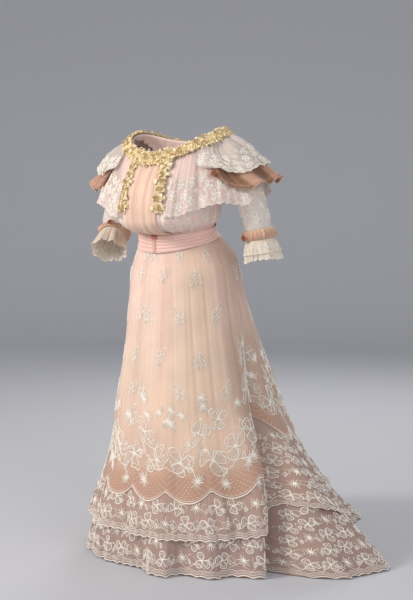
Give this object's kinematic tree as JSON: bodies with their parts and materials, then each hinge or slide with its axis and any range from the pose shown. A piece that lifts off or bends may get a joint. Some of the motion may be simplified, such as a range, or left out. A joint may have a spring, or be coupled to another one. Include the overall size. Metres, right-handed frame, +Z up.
{
  "type": "evening dress",
  "caption": "Worn off-the-shoulder evening dress of lace and net over silk, with tiered collar, elbow sleeves, pleated girdle and a trained skirt.",
  "frame": {"origin": "midway between the wearer's shoulders, where she carries the dress", "axes": "+Z up, the wearer faces -Y, +X is her left side"},
  "size_m": [1.0967, 1.1264, 1.3256],
  "materials": {
    "silk": "soft sheen",
    "net": "sheer embroidered net over silk",
    "flounce_lace": "sheer lace over silk",
    "lace": "matt lace",
    "panel_chiffon": "matt chiffon",
    "girdle_chiffon": "pleated chiffon, slight sheen",
    "coral_chiffon": "matt chiffon",
    "ribbon": "silk ribbon, slight sheen"
  },
  "bodies": {
    "root": {"underskirt_front": "silk", "underskirt_train": "silk", "overskirt_front": "net", "overskirt_train": "net", "upper_flounce_front": "flounce_lace", "upper_flounce_train": "flounce_lace", "lower_flounce_front": "flounce_lace", "lower_flounce_train": "flounce_lace", "bodice_front": "lace", "bodice_back": "lace", "front_panel": "panel_chiffon", "ribbon_trim_left": "ribbon", "ribbon_trim_right": "ribbon", "girdle": "girdle_chiffon", "girdle_knot": "girdle_chiffon", "sleeve_left": "lace", "sleeve_right": "lace", "sleeve_band_left": "coral_chiffon", "sleeve_band_right": "coral_chiffon", "cuff_ruffle_left": "lace", "cuff_ruffle_right": "lace", "sleeve_rosette_left": "coral_chiffon", "sleeve_rosette_right": "coral_chiffon", "bertha_left": "lace", "bertha_right": "lace", "shoulder_ruffle_left": "coral_chiffon", "shoulder_ruffle_right": "coral_chiffon", "shoulder_cap_left": "lace", "shoulder_cap_right": "lace", "neck_ruche": "ribbon", "collar_rosette": "coral_chiffon"}
  },
  "joints": []
}
